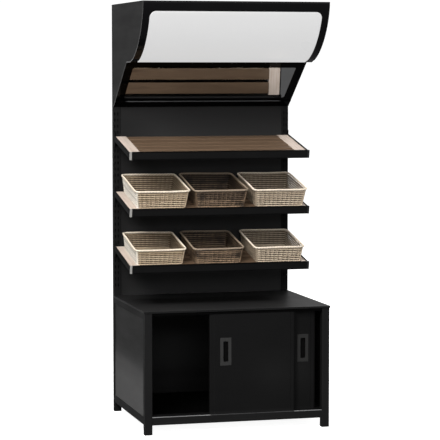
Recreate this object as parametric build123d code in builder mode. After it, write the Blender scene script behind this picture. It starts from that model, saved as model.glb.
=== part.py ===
from build123d import *
import os
from math import sin, cos, radians, pi, sqrt

os.makedirs("parts", exist_ok=True)

# ---------------------------------------------------------------------------
# Bread display rack: closed base with two sliding doors, slotted uprights,
# three tilted wooden shelves, six loose baskets and a curved hood with an
# opal front panel and a slanted mirror under it.
# Millimetres, +Z up, front towards -Y, left towards -X.
# Origin: centre of the footprint, on the floor.
# ---------------------------------------------------------------------------

# overall
half_w = 500.0            # half the width over the posts and the hood
front = -393.0            # front plane of the base frame
rack_depth = 790.0        # front plane to the back of the uprights
rack_height = 2240.0

# tubes
tube = 40.0               # base tube, outside
tube_wall = 2.0
tube_r = 2.5              # outside corner radius
up_w = 40.0               # upright width
up_d = 35.0               # upright depth
pad_h = 6.0               # leg pad under each post

# base cabinet
rail_z0 = 51.0            # underside of the bottom rails
rail_z1 = rail_z0 + tube  # their top, and the cabinet floor
top_z = 645.0             # upper face of the worktop
sheet = 2.0               # worktop skin
frame_top = top_z - sheet # top of posts and top rails
lip_h = 10.0              # folded edge of the worktop
overhang = 4.0            # worktop past the frame at front and sides

# sliding doors
open_half = half_w - tube # half the clear opening
door_w = 464.0
door_t = 20.0             # depth of the folded door
door_skin = 1.5
door_step = 1.5           # the centre field stands out this far
door_edge = 24.0          # width of the set-back edge strips
door_z0 = 95.0
door_z1 = 630.0
front_door_y = 5.0        # behind the front plane
rear_door_y = 33.0
left_door_x = -153.0      # left edge of each door as it stands
right_door_x = -34.0
pull_w, pull_h = 60.0, 146.0
cup_w, cup_h, cup_d = 27.0, 107.0, 12.0
cup_wall = 1.5
pull_z = 422.0
pull_in = 87.0            # pull centre from the door's leading edge, left door
pull_in_r = 67.0          # and from the right door's right edge

# slots in the uprights
slot_pitch = 33.6
slot_len, slot_w = 18.0, 6.0
slot_x_outer = 492.0
slot_x_inner = 475.0
slot_ref = 1510.0         # centre height of the slot that holds the top shelf

# shelves
tilt = radians(11.5)      # down towards the front
shelf_front = 350.0       # front face of the price rail, behind the front plane
rail_tops = {"top": 1452.0, "middle": 1149.6, "lower": 847.2}
rail_rise = 12.0          # price rail above the deck
rail_drop = 31.0          # and below it
rail_t = 10.0
rail_half = 486.5
shelf_half = 497.5
deck_len = 397.0
board_w, board_t = 64.0, 18.0
slat_n, slat_d, slat_t, slat_gap = 5, 62.0, 13.0, 17.0
slat_s0 = 20.0            # front edge of the first slat
plate_in, plate_out = 494.0, 497.5
plate_rise, plate_drop = 6.5, 24.5   # bracket plate above and below the deck
hook_in, hook_out = 490.0, 494.0     # hooks stand in the outer slots
flange_in, flange_t = 484.5, 2.0     # flange of the bracket on the upright
riser = 14.0              # depth of the plate where it rises along the upright

# hood
curve_y0, curve_y1 = 14.0, 345.0     # front of the curve, end of the curve
curve_z0, curve_z1 = 2238.0, 1926.0
curve_p = 1.72                       # roundness of the curve
skin = 3.0                           # fascia and mirror frame
slant_y0 = 415.0                     # start of the slanted underside
slant_y1, slant_z1 = 755.0, 1681.0   # and its lower end
cheek_t = 2.0
opal_half = 462.0
opal_top = 2187.0
opal_end = 330.0
opal_r = 33.0
mirror_half = 455.0
mirror_s0, mirror_s1 = 50.0, 340.0   # along the slant
mirror_r = 14.0
frame_end = 360.0                    # end of the mirror frame along the slant

# back
panel_y0, panel_y1 = 759.0, 761.0
seam_z = 1122.0

# baskets: rim width, rim depth, base width, base depth, height
basket_mid = (311.0, 378.0, 272.0, 346.0, 102.0)
basket_low = (290.0, 352.0, 258.0, 322.0, 91.0)
basket_mid_x = (-315.0, 9.0, 341.0)
basket_low_x = (-325.0, -3.0, 337.0)
basket_mid_s = 218.0
basket_low_s = 205.6
basket_wall = 7.0
rim_h = 12.0
rim_out = 5.0


def y_of(depth_from_front):
    return front + depth_from_front


def save(builder, name):
    builder.part.label = name
    export_step(builder.part, "parts/" + name + ".step")


def xz_plane(y):
    # sketch plane facing the front, local x = X, local y = Z
    return Plane(origin=(0, y, 0), x_dir=(1, 0, 0), z_dir=(0, -1, 0))


# ---------------------------------------------------------------------------
# Base frame
# ---------------------------------------------------------------------------
post_y = y_of(tube / 2)
for side, sx in (("left", -1), ("right", 1)):
    with BuildPart() as front_post:
        with BuildSketch(Plane.XY.offset(pad_h)):
            with Locations((sx * (half_w - tube / 2), post_y)):
                RectangleRounded(tube, tube, tube_r)
                RectangleRounded(tube - 2 * tube_wall, tube - 2 * tube_wall, 0.8, mode=Mode.SUBTRACT)
        extrude(amount=frame_top - pad_h)
    save(front_post, "front_post_" + side)

with BuildPart() as front_bottom_rail:
    with BuildSketch(Plane.YZ.offset(-open_half)):
        with Locations((post_y, (rail_z0 + rail_z1) / 2)):
            RectangleRounded(tube, tube, tube_r)
            RectangleRounded(tube - 2 * tube_wall, tube - 2 * tube_wall, 0.8, mode=Mode.SUBTRACT)
    extrude(amount=2 * open_half)
save(front_bottom_rail, "front_bottom_rail")

side_y0 = y_of(tube)
side_y1 = y_of(rack_depth - up_d)
for name, zc in (("side_bottom_rails", (rail_z0 + rail_z1) / 2), ("side_top_rails", frame_top - tube / 2)):
    with BuildPart() as side_rails:
        with BuildSketch(xz_plane(side_y0)):
            with Locations((-(half_w - tube / 2), zc), (half_w - tube / 2, zc)):
                RectangleRounded(tube, tube, tube_r)
                RectangleRounded(tube - 2 * tube_wall, tube - 2 * tube_wall, 0.8, mode=Mode.SUBTRACT)
        extrude(amount=-(side_y1 - side_y0))
    save(side_rails, name)

# two cross rails behind the cabinet, between the uprights
rear_rail_d = rack_depth - 3.0 - panel_y1
with BuildPart() as rear_rails:
    with BuildSketch(Plane.YZ.offset(-open_half)):
        with Locations((y_of(panel_y1 + rear_rail_d / 2), (rail_z0 + rail_z1) / 2),
                       (y_of(panel_y1 + rear_rail_d / 2), frame_top - tube / 2)):
            RectangleRounded(rear_rail_d, tube, tube_r)
            RectangleRounded(rear_rail_d - 2 * tube_wall, tube - 2 * tube_wall, 0.8, mode=Mode.SUBTRACT)
    extrude(amount=2 * open_half)
save(rear_rails, "rear_rails")

# leg pads: a flat foot with a plug that fills the tube
with BuildPart() as leg_pads:
    with BuildSketch(Plane.XY):
        with Locations((-(half_w - tube / 2), post_y), (half_w - tube / 2, post_y)):
            RectangleRounded(tube, tube, tube_r)
        with Locations((-(half_w - up_w / 2), y_of(rack_depth - up_d / 2)),
                       (half_w - up_w / 2, y_of(rack_depth - up_d / 2))):
            RectangleRounded(up_w, up_d, tube_r)
    extrude(amount=pad_h)
    with BuildSketch(Plane.XY.offset(pad_h)):
        with Locations((-(half_w - tube / 2), post_y), (half_w - tube / 2, post_y)):
            RectangleRounded(tube - 2 * tube_wall - 0.6, tube - 2 * tube_wall - 0.6, 1.5)
        with Locations((-(half_w - up_w / 2), y_of(rack_depth - up_d / 2)),
                       (half_w - up_w / 2, y_of(rack_depth - up_d / 2))):
            RectangleRounded(up_w - 2 * tube_wall - 0.6, up_d - 2 * tube_wall - 0.6, 1.5)
    extrude(amount=15.0)
save(leg_pads, "leg_pads")

# side panels, set 5 mm back in the side frames
for side, sx in (("left", -1), ("right", 1)):
    with BuildPart() as side_panel:
        with BuildSketch(Plane.YZ.offset(sx * 494.0 - 1.0)):
            with Locations(((side_y0 + side_y1) / 2, (rail_z1 + frame_top - tube) / 2)):
                Rectangle(side_y1 - side_y0, frame_top - tube - rail_z1)
        extrude(amount=2.0)
    save(side_panel, "side_panel_" + side)

with BuildPart() as cabinet_back:
    with BuildSketch(xz_plane(y_of(panel_y0))):
        with Locations((0, (rail_z0 + frame_top) / 2)):
            Rectangle(2 * open_half, frame_top - rail_z0)
    extrude(amount=-(panel_y1 - panel_y0))
save(cabinet_back, "cabinet_back")

# floor tray with flanges folded down at both sides
floor_y0, floor_y1 = y_of(tube), y_of(panel_y0)
with BuildPart() as cabinet_floor:
    with BuildSketch(Plane.XZ.offset(-floor_y0)):
        with BuildLine():
            Polyline((-open_half, 66), (-open_half, rail_z1), (open_half, rail_z1), (open_half, 66),
                     (open_half - 2, 66), (open_half - 2, rail_z1 - 2), (-open_half + 2, rail_z1 - 2),
                     (-open_half + 2, 66), close=True)
        make_face()
    extrude(amount=-(floor_y1 - floor_y0))
save(cabinet_floor, "cabinet_floor")

# worktop: a folded sheet with a lip at the front and both sides
wt_x = half_w + overhang
wt_y0 = front - overhang
wt_y1 = y_of(rack_depth - up_d)
with BuildPart() as worktop:
    with BuildSketch(Plane.XY.offset(frame_top)):
        with Locations((0, (wt_y0 + wt_y1) / 2)):
            Rectangle(2 * wt_x, wt_y1 - wt_y0)
        with Locations((0, (wt_y1 + y_of(panel_y0)) / 2)):
            Rectangle(2 * open_half - 1, y_of(panel_y0) - wt_y1)
    extrude(amount=sheet)
    fillet(worktop.edges().filter_by(Axis.Z).group_by(Axis.Y)[0], 3.0)
    with BuildSketch(Plane.XY.offset(top_z - lip_h)):
        with BuildLine():
            Polyline((-wt_x, wt_y1), (-wt_x, wt_y0 + 3), (-wt_x + 3, wt_y0), (wt_x - 3, wt_y0), (wt_x, wt_y0 + 3),
                     (wt_x, wt_y1), (wt_x - 2, wt_y1), (wt_x - 2, wt_y0 + 4), (wt_x - 4, wt_y0 + 2),
                     (-wt_x + 4, wt_y0 + 2), (-wt_x + 2, wt_y0 + 4), (-wt_x + 2, wt_y1), close=True)
        make_face()
    extrude(amount=lip_h - sheet)
save(worktop, "worktop")

# ---------------------------------------------------------------------------
# Door tracks
# ---------------------------------------------------------------------------
mid_front = front_door_y + door_t / 2
mid_rear = rear_door_y + door_t / 2
with BuildPart() as lower_track:
    with BuildSketch(Plane.YZ.offset(-open_half)):
        with Locations((y_of(30.0), rail_z1 + 1.0)):
            Rectangle(54.0, 2.0)
        with Locations((y_of(mid_front), rail_z1 + 5.0), (y_of(mid_rear), rail_z1 + 5.0)):
            Rectangle(3.0, 10.0)
        with Locations((y_of(3.75), rail_z1 + 1.6)):
            Rectangle(1.5, 3.2)
    extrude(amount=2 * open_half)
save(lower_track, "lower_door_track")

with BuildPart() as upper_track:
    with BuildSketch(Plane.YZ.offset(-open_half)):
        with BuildLine():
            z_hi, z_in, z_lo = frame_top, frame_top - 2, frame_top - 22
            Polyline((y_of(2), z_lo), (y_of(2), z_hi), (y_of(56), z_hi), (y_of(56), z_lo), (y_of(54), z_lo),
                     (y_of(54), z_in), (y_of(30), z_in), (y_of(30), z_lo), (y_of(28), z_lo), (y_of(28), z_in),
                     (y_of(4), z_in), (y_of(4), z_lo), close=True)
        make_face()
    extrude(amount=2 * open_half)
save(upper_track, "upper_door_track")


# ---------------------------------------------------------------------------
# Sliding doors: folded sheet with a raised centre field, open at the back
# ---------------------------------------------------------------------------
cap_lo = door_z0 + 10.5                 # inner bottom fold, above the glides
for side, x0, yd, pull_x in (("left", left_door_x, front_door_y, left_door_x + pull_in),
                             ("right", right_door_x, rear_door_y, right_door_x + door_w - pull_in_r)):
    x1 = x0 + door_w
    ya, yb, yc = y_of(yd), y_of(yd + door_step), y_of(yd + door_t)
    k = door_skin
    with BuildPart() as door:
        with BuildSketch(Plane.XY.offset(door_z0)):
            with BuildLine():
                Polyline((x0, yc), (x0, yb), (x0 + door_edge, yb), (x0 + door_edge + 2, ya),
                         (x1 - door_edge - 2, ya), (x1 - door_edge, yb), (x1, yb), (x1, yc),
                         (x1 - k, yc), (x1 - k, yb + k), (x1 - door_edge + 0.6, yb + k),
                         (x1 - door_edge - 1.4, ya + k), (x0 + door_edge + 1.4, ya + k),
                         (x0 + door_edge - 0.6, yb + k), (x0 + k, yb + k), (x0 + k, yc), close=True)
            make_face()
        extrude(amount=door_z1 - door_z0)
        # folds at the top and bottom, and the stiffening lips behind them
        for zf in (cap_lo, door_z1 - k):
            with BuildSketch(Plane.XY.offset(zf)):
                with Locations(((x0 + x1) / 2, (yb + k + yc) / 2)):
                    Rectangle(door_w - 2 * k, yc - yb - k)
                with Locations(((x0 + x1) / 2, (ya + k + yb + k) / 2)):
                    Rectangle(door_w - 2 * door_edge - 3, door_step)
            extrude(amount=k)
        with BuildSketch(xz_plane(yc - k)):
            with Locations(((x0 + x1) / 2, cap_lo + 8.0), ((x0 + x1) / 2, door_z1 - 8.0)):
                Rectangle(door_w - 2 * k, 16.0)
        extrude(amount=-k)
        # notches in the side folds, where the door runs over the rib of the track
        with BuildSketch(Plane.XY.offset(door_z0 - 1)):
            with Locations(((x0 + x1) / 2, y_of(yd + door_t / 2))):
                Rectangle(door_w + 2, 5.0)
        extrude(amount=8.5, mode=Mode.SUBTRACT)
        # opening for the recessed pull
        with BuildSketch(xz_plane(ya - 1)):
            with Locations((pull_x, pull_z)):
                Rectangle(cup_w + 2 * cup_wall + 0.6, cup_h + 2 * cup_wall + 0.6)
        extrude(amount=-4.0, mode=Mode.SUBTRACT)
    save(door, side + "_door")

    # recessed pull: flat surround on the door face, cup behind it
    with BuildPart() as pull:
        with BuildSketch(xz_plane(ya)):
            with Locations((pull_x, pull_z)):
                RectangleRounded(pull_w, pull_h, 2.0)
        extrude(amount=1.5)
        fillet(pull.faces().sort_by(Axis.Y)[0].edges(), 0.8)
        with BuildSketch(xz_plane(ya)):
            with Locations((pull_x, pull_z)):
                Rectangle(cup_w + 2 * cup_wall, cup_h + 2 * cup_wall)
        extrude(amount=-(cup_d + cup_wall))
        with BuildSketch(xz_plane(ya - 3)):
            with Locations((pull_x, pull_z)):
                RectangleRounded(cup_w, cup_h, 6.0)
        extrude(amount=-(cup_d + 3), mode=Mode.SUBTRACT)
    save(pull, side + "_door_pull")

    # nylon glides that straddle the rib of the lower track
    ym = y_of(yd + door_t / 2)
    with BuildPart() as glides:
        with BuildSketch(Plane.YZ.offset(x0 + 45.0)):
            with BuildLine():
                Polyline((ym - 6.5, 94.4), (ym - 6.5, cap_lo), (ym + 6.5, cap_lo), (ym + 6.5, 94.4),
                         (ym + 2.2, 94.4), (ym + 2.2, 101.2), (ym - 2.2, 101.2), (ym - 2.2, 94.4), close=True)
            make_face()
        extrude(amount=36.0)
        with BuildSketch(Plane.YZ.offset(x1 - 81.0)):
            with BuildLine():
                Polyline((ym - 6.5, 94.4), (ym - 6.5, cap_lo), (ym + 6.5, cap_lo), (ym + 6.5, 94.4),
                         (ym + 2.2, 94.4), (ym + 2.2, 101.2), (ym - 2.2, 101.2), (ym - 2.2, 94.4), close=True)
            make_face()
        extrude(amount=36.0)
    save(glides, side + "_door_glides")

# ---------------------------------------------------------------------------
# Slotted uprights, full height: they are the rear legs of the base too
# ---------------------------------------------------------------------------
up_y0 = y_of(rack_depth - up_d)
slot_zs = [slot_ref + slot_pitch * i for i in range(-24, 5)]
bolt_zs = (1765.0, 1970.0, 2175.0)
bolt_r = 3.0
for side, sx in (("left", -1), ("right", 1)):
    with BuildPart() as upright:
        with BuildSketch(Plane.XY.offset(pad_h)):
            with Locations((sx * (half_w - up_w / 2), y_of(rack_depth - up_d / 2))):
                RectangleRounded(up_w, up_d, tube_r)
                RectangleRounded(up_w - 2 * tube_wall, up_d - 2 * tube_wall, 0.8, mode=Mode.SUBTRACT)
        extrude(amount=curve_z0 - pad_h)
        with BuildSketch(xz_plane(up_y0 - 1)):
            with Locations([(sx * x, z) for x in (slot_x_outer, slot_x_inner) for z in slot_zs]):
                SlotOverall(slot_len, slot_w, rotation=90)
        extrude(amount=-4.0, mode=Mode.SUBTRACT)
        with BuildSketch(xz_plane(up_y0 - 1)):
            with Locations([(sx * 480.0, z) for z in bolt_zs]):
                Circle(bolt_r + 0.2)
        extrude(amount=-4.0, mode=Mode.SUBTRACT)
    save(upright, "upright_" + side)

with BuildPart() as crossbar:
    with BuildSketch(Plane.YZ.offset(-open_half)):
        with Locations((y_of(panel_y1 + rear_rail_d / 2), curve_z0 - tube / 2)):
            RectangleRounded(rear_rail_d, tube, tube_r)
            RectangleRounded(rear_rail_d - 2 * tube_wall, tube - 2 * tube_wall, 0.8, mode=Mode.SUBTRACT)
    extrude(amount=2 * open_half)
save(crossbar, "top_crossbar")

# back panels between the uprights
grommet_x, grommet_z = 330.0, 2120.0
with BuildPart() as back_lower:
    with BuildSketch(xz_plane(y_of(panel_y0))):
        with Locations((0, (frame_top + seam_z) / 2)):
            Rectangle(2 * open_half, seam_z - frame_top)
    extrude(amount=-(panel_y1 - panel_y0))
save(back_lower, "back_panel_lower")

with BuildPart() as back_upper:
    with BuildSketch(xz_plane(y_of(panel_y0))):
        with Locations((0, (seam_z + curve_z0) / 2)):
            Rectangle(2 * open_half, curve_z0 - seam_z)
        with Locations((grommet_x, grommet_z)):
            Circle(10.0, mode=Mode.SUBTRACT)
    extrude(amount=-(panel_y1 - panel_y0))
save(back_upper, "back_panel_upper")

# cable grommet for the lamp, in the upper back panel
with BuildPart() as grommet:
    with BuildSketch(Plane.XY) as grommet_half:
        with BuildLine():
            Polyline((4.5, -4), (14, -4), (14, 0), (9.8, 0), (9.8, 2), (14, 2), (14, 6), (4.5, 6), close=True)
        make_face()
    revolve(axis=Axis.Y)
grommet_placed = Plane(origin=(grommet_x, y_of(panel_y0), grommet_z), x_dir=(1, 0, 0), z_dir=(0, 0, 1)) * grommet.part
grommet_placed.label = "cable_grommet"
export_step(grommet_placed, "parts/cable_grommet.step")

# ---------------------------------------------------------------------------
# Hood
# ---------------------------------------------------------------------------
# outer line of the curve, and the same line moved inwards by the skin
steps = 12
outer_pts, inner_pts, cheek_pts = [], [], []
ay, az = curve_y1 - curve_y0, curve_z0 - curve_z1
for i in range(steps + 1):
    a = pi / 2 * i / steps
    c, s = max(cos(a), 0.0), sin(a)
    q = 2.0 / curve_p
    yy = curve_y1 - ay * c ** q
    zz = curve_z0 - az * s ** q
    # outward normal of the curve |y|^p + |z|^p = 1
    ny = -(c ** (q * (curve_p - 1))) / ay
    nz = -(s ** (q * (curve_p - 1))) / az
    nl = sqrt(ny * ny + nz * nz)
    outer_pts.append((y_of(yy), zz))
    inner_pts.append((y_of(yy) - skin * ny / nl, zz - skin * nz / nl))
    cheek_pts.append((y_of(yy) - (skin + 0.3) * ny / nl, zz - (skin + 0.3) * nz / nl))

slant_len = sqrt((slant_y1 - slant_y0) ** 2 + (curve_z1 - slant_z1) ** 2)
ey, ez = (slant_y1 - slant_y0) / slant_len, (slant_z1 - curve_z1) / slant_len
my, mz = -ez, ey                       # inward normal of the slanted part


def slant(s_along, depth_in):
    return (y_of(slant_y0) + ey * s_along + my * depth_in, curve_z1 + ez * s_along + mz * depth_in)


k_in = (mz * skin - skin) / -ez
corner_in = slant(k_in, skin)          # where both inner lines meet
corner_cheek = (corner_in[0], corner_in[1] + 0.3)
slant_end_cheek = (y_of(slant_y1), slant_z1 + (skin + 0.3) / mz)

with BuildPart() as fascia_blank:
    with BuildSketch(Plane.YZ.offset(-half_w)):
        with BuildLine():
            Spline(*outer_pts, tangents=((0, -1), (1, 0)))
            Line(outer_pts[-1], (y_of(slant_y0), curve_z1))
            Line((y_of(slant_y0), curve_z1), corner_in)
            Line(corner_in, inner_pts[-1])
            Spline(*inner_pts, tangents=((0, -1), (1, 0)))
            Line(inner_pts[0], outer_pts[0])
        make_face()
    extrude(amount=2 * half_w)

# rounded window for the opal panel, cut from the front
with BuildPart() as fascia_frame:
    add(fascia_blank.part)
    with BuildSketch(xz_plane(y_of(0))):
        with BuildLine():
            Polyline((-opal_half, 1900), (-opal_half, opal_top - opal_r))
            RadiusArc((-opal_half, opal_top - opal_r), (-opal_half + opal_r, opal_top), opal_r)
            Line((-opal_half + opal_r, opal_top), (opal_half - opal_r, opal_top))
            RadiusArc((opal_half - opal_r, opal_top), (opal_half, opal_top - opal_r), opal_r)
            Polyline((opal_half, opal_top - opal_r), (opal_half, 1900), (-opal_half, 1900))
        make_face()
    extrude(amount=-opal_end, mode=Mode.SUBTRACT)
save(fascia_frame, "fascia_frame")

gap = 0.4
with BuildPart() as opal:
    add(fascia_blank.part)
    with BuildSketch(xz_plane(y_of(0))):
        with BuildLine():
            h, t_, r_ = opal_half - gap, opal_top - gap, opal_r - gap
            Polyline((-h, 1900), (-h, t_ - r_))
            RadiusArc((-h, t_ - r_), (-h + r_, t_), r_)
            Line((-h + r_, t_), (h - r_, t_))
            RadiusArc((h - r_, t_), (h, t_ - r_), r_)
            Polyline((h, t_ - r_), (h, 1900), (-h, 1900))
        make_face()
    extrude(amount=-(opal_end - gap), mode=Mode.INTERSECT)
save(opal, "fascia_panel")

# side cheeks with a flange that is bolted to the upright
for side, sx in (("left", -1), ("right", 1)):
    x_in = -half_w if sx < 0 else half_w - cheek_t
    with BuildPart() as cheek:
        with BuildSketch(Plane.YZ.offset(x_in)):
            with BuildLine():
                Spline(*cheek_pts, tangents=((0, -1), (1, 0)))
                Line(cheek_pts[-1], corner_cheek)
                Line(corner_cheek, slant_end_cheek)
                Line(slant_end_cheek, (y_of(slant_y1), curve_z0))
                Line((y_of(slant_y1), curve_z0), cheek_pts[0])
            make_face()
        extrude(amount=cheek_t)
        with BuildSketch(xz_plane(up_y0)):
            with Locations((sx * 484.5, (1705.0 + curve_z0) / 2)):
                Rectangle(31.0, curve_z0 - 1705.0)
            with Locations([(sx * 480.0, z) for z in bolt_zs]):
                Circle(bolt_r + 0.2, mode=Mode.SUBTRACT)
        extrude(amount=cheek_t)
    save(cheek, "hood_cheek_" + side)

with BuildPart() as hood_top:
    with BuildSketch(Plane.XY.offset(curve_z0)):
        with Locations((0, y_of((curve_y0 + rack_depth) / 2))):
            Rectangle(2 * half_w, rack_depth - curve_y0)
    extrude(amount=rack_height - curve_z0)
save(hood_top, "hood_top")

# bolts: head on the flange, shank through the wall, nut behind it
with BuildPart() as hood_bolts:
    with BuildSketch(xz_plane(up_y0 - cheek_t)):
        with Locations([(sx * 480.0, z) for sx in (-1, 1) for z in bolt_zs]):
            Circle(5.5)
    extrude(amount=4.0)
    with BuildSketch(xz_plane(up_y0 - cheek_t)):
        with Locations([(sx * 480.0, z) for sx in (-1, 1) for z in bolt_zs]):
            Circle(bolt_r)
    extrude(amount=-12.0)
    with BuildSketch(xz_plane(up_y0 + tube_wall)):
        with Locations([(sx * 480.0, z) for sx in (-1, 1) for z in bolt_zs]):
            RegularPolygon(5.5, 6)
    extrude(amount=-5.0)
    with BuildSketch(xz_plane(up_y0 - cheek_t - 5)):
        with Locations([(sx * 480.0, z) for sx in (-1, 1) for z in bolt_zs]):
            RegularPolygon(2.4, 6)
    extrude(amount=-3.0, mode=Mode.SUBTRACT)
save(hood_bolts, "hood_bolts")

# lamp behind the opal panel, under the hood's top sheet
with BuildPart() as lamp_housing:
    with BuildSketch(Plane.YZ.offset(-430.0)):
        with BuildLine():
            Polyline((y_of(300), 2198), (y_of(300), curve_z0), (y_of(340), curve_z0), (y_of(340), 2198), close=True)
        make_face()
    extrude(amount=860.0)
    fillet(lamp_housing.edges().filter_by(Axis.X).group_by(Axis.Z)[0], 3.0)
save(lamp_housing, "lamp_housing")

with BuildPart() as lamp_tube:
    with BuildSketch(Plane.YZ.offset(-424.0)):
        with BuildLine():
            Line((y_of(306), 2198), (y_of(334), 2198))
            ThreePointArc((y_of(334), 2198), (y_of(320), 2184), (y_of(306), 2198))
        make_face()
    extrude(amount=848.0)
save(lamp_tube, "lamp_diffuser")

# mirror frame on the slanted underside, with a rounded window
slant_plane = Plane(origin=(0, slant(0, 0)[0], slant(0, 0)[1]), x_dir=(1, 0, 0), z_dir=(0, -my, -mz))
# local x = X; local y runs up and forwards along the slant, so depth s is at -s
with BuildPart() as mirror_frame:
    with BuildSketch(Plane.YZ.offset(-half_w)):
        with BuildLine():
            Polyline(slant(0, 0), slant(frame_end, 0), slant(frame_end, skin), corner_in, close=True)
        make_face()
    extrude(amount=2 * half_w)
    with BuildSketch(slant_plane.offset(1)):
        with Locations((0, -(mirror_s0 + mirror_s1) / 2)):
            RectangleRounded(2 * mirror_half, mirror_s1 - mirror_s0, mirror_r)
    extrude(amount=-6.0, mode=Mode.SUBTRACT)
save(mirror_frame, "mirror_frame")

with BuildPart() as mirror:
    with BuildSketch(slant_plane.offset(-skin)):
        with Locations((0, -(mirror_s0 + mirror_s1) / 2)):
            Rectangle(2 * mirror_half + 28, mirror_s1 - mirror_s0 + 28)
    extrude(amount=-4.0)
save(mirror, "mirror_glass")

# lower lip under the mirror, with a narrow raised edge
with BuildPart() as hood_lip:
    with BuildSketch(Plane.YZ.offset(-half_w)):
        with BuildLine():
            Polyline(slant(frame_end, skin), slant(frame_end, -5), slant(frame_end + 3, -5), slant(frame_end + 3, 0),
                     slant(slant_len - 4, 0), slant(slant_len - 4, skin), close=True)
        make_face()
    extrude(amount=2 * half_w)
save(hood_lip, "hood_lip")


# ---------------------------------------------------------------------------
# Shelves
# ---------------------------------------------------------------------------
ct, st = cos(tilt), sin(tilt)
shelf_origin = {}
hook_up = {}
for name, z_top in rail_tops.items():
    shelf_origin[name] = (y_of(shelf_front), z_top - rail_rise * ct)
hook_up = {"top": 0, "middle": -9, "lower": -18}


def on_shelf(name, s_along, n_up):
    # s runs back and up along the deck, n stands on it
    oy, oz = shelf_origin[name]
    return (oy + s_along * ct - n_up * st, oz + s_along * st + n_up * ct)


def deck_plane(name, s_along, n_up, x=0.0):
    yy, zz = on_shelf(name, s_along, n_up)
    return Plane(origin=(x, yy, zz), x_dir=(1, 0, 0), z_dir=(0, -st, ct))


for name in rail_tops:
    # brackets: outer plate, a flange on the upright with two hooks, and a
    # ledge under the boards
    oy, oz = shelf_origin[name]
    s_top = (up_y0 - riser - oy + plate_rise * st) / ct
    z_riser = on_shelf(name, s_top, plate_rise)[1]
    hz = [slot_ref + slot_pitch * (hook_up[name] + j) for j in (1, 0)]
    z_hi, z_bot = hz[0] + 6.0, hz[1] - slot_pitch - 12.0
    for side, sx in (("left", -1), ("right", 1)):
        px = plate_in if sx > 0 else -plate_out
        hx = hook_in if sx > 0 else -hook_out
        fx = flange_in if sx > 0 else -plate_out
        with BuildPart() as bracket:
            with BuildSketch(Plane.YZ.offset(px)):
                with BuildLine():
                    Polyline(on_shelf(name, rail_t, plate_rise), (up_y0 - riser, z_riser), (up_y0 - riser, z_hi),
                             (up_y0, z_hi), (up_y0, z_bot),
                             (up_y0 - 14, z_bot), on_shelf(name, 385, -plate_drop), on_shelf(name, rail_t, -plate_drop),
                             close=True)
                make_face()
            extrude(amount=plate_out - plate_in)
            # flange
            with BuildSketch(Plane.YZ.offset(fx)):
                with BuildLine():
                    Polyline((up_y0 - flange_t, z_hi), (up_y0, z_hi), (up_y0, z_bot),
                             (up_y0 - flange_t, z_bot), close=True)
                make_face()
            extrude(amount=plate_out - flange_in)
            # hooks
            with BuildSketch(Plane.YZ.offset(hx)):
                for zc in hz:
                    with BuildLine():
                        Polyline((up_y0 - 2, zc + 5), (up_y0 + 7, zc + 5), (up_y0 + 7, zc - 14),
                                 (up_y0 + 2.4, zc - 14), (up_y0 + 2.4, zc - 7), (up_y0 - 2, zc - 7), close=True)
                    make_face()
            extrude(amount=hook_out - hook_in)
            # ledge
            with BuildSketch(Plane.YZ.offset(sx * plate_in - (28.0 if sx > 0 else 0.0))):
                with BuildLine():
                    Polyline(on_shelf(name, rail_t, -board_t), on_shelf(name, rail_t + deck_len + 1.5, -board_t),
                             on_shelf(name, rail_t + deck_len + 1.5, -board_t - 2), on_shelf(name, rail_t, -board_t - 2),
                             close=True)
                make_face()
            extrude(amount=28.0)
        save(bracket, "shelf_" + name + "_bracket_" + side)

    # wooden side boards
    with BuildPart() as boards:
        with BuildSketch(deck_plane(name, rail_t + deck_len / 2, -board_t)):
            with Locations((-(plate_in - board_w / 2), 0), (plate_in - board_w / 2, 0)):
                Rectangle(board_w, deck_len)
        extrude(amount=board_t)
        chamfer(boards.faces().group_by(Axis(origin=(0, 0, 0), direction=(0, -st, ct)))[-1].edges(), 1.0)
    save(boards, "shelf_" + name + "_side_boards")

    # wooden slats across
    slat_half = plate_in - board_w
    with BuildPart() as slats:
        with BuildSketch(deck_plane(name, slat_s0, -slat_t)):
            with Locations([(0, slat_d / 2 + i * (slat_d + slat_gap)) for i in range(slat_n)]):
                Rectangle(2 * slat_half, slat_d)
        extrude(amount=slat_t)
        chamfer(slats.faces().group_by(Axis(origin=(0, 0, 0), direction=(0, -st, ct)))[-1].edges().filter_by(Axis.X), 1.0)
    save(slats, "shelf_" + name + "_slats")

    # price rail with a shallow label channel in its face
    with BuildPart() as price_rail:
        with BuildSketch(Plane.YZ.offset(-rail_half)):
            with BuildLine():
                Polyline(on_shelf(name, 0, rail_rise), on_shelf(name, rail_t, rail_rise),
                         on_shelf(name, rail_t, -rail_drop), on_shelf(name, 0, -rail_drop),
                         on_shelf(name, 0, -rail_drop + 3), on_shelf(name, 1.5, -rail_drop + 3),
                         on_shelf(name, 1.5, rail_rise - 3), on_shelf(name, 0, rail_rise - 3), close=True)
            make_face()
        extrude(amount=2 * rail_half)
    save(price_rail, "shelf_" + name + "_price_rail")

# end caps of the three price rails
with BuildPart() as end_caps:
    for name in rail_tops:
        for x_lo in (-shelf_half, rail_half):
            with BuildSketch(Plane.YZ.offset(x_lo)):
                with BuildLine():
                    Polyline(on_shelf(name, 0, rail_rise), on_shelf(name, rail_t, rail_rise),
                             on_shelf(name, rail_t, -rail_drop), on_shelf(name, 0, -rail_drop), close=True)
                make_face()
            extrude(amount=shelf_half - rail_half)
save(end_caps, "price_rail_end_caps")


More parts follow.
